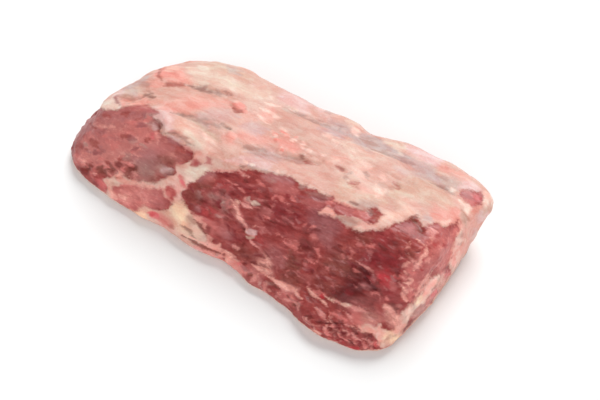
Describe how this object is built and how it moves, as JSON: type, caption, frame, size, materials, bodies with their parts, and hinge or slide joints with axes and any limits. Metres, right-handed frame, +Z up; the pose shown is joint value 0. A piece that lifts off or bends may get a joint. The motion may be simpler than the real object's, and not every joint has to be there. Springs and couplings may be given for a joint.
{
  "type": "raw beef ribeye roll",
  "caption": "Whole boneless raw beef ribeye roll lying rib side up: pale fat and silverskin on top, dark marbled lean down the long flank, and a clean cut face at one end.",
  "frame": {"origin": "middle of the roll's box, on the flat underside that it rests on", "axes": "+X along the roll's length towards the cut end, -Y towards the sloping lean flank, +Z up through the fat top"},
  "size_m": [0.398, 0.2088, 0.0766],
  "materials": {
    "raw_beef": "moist raw beef: pale cream and pink fat with silverskin on top, dark red marbled lean on the flank and ends, with a soft wet sheen"
  },
  "bodies": {
    "root": {"ribeye": "raw_beef"}
  },
  "joints": []
}
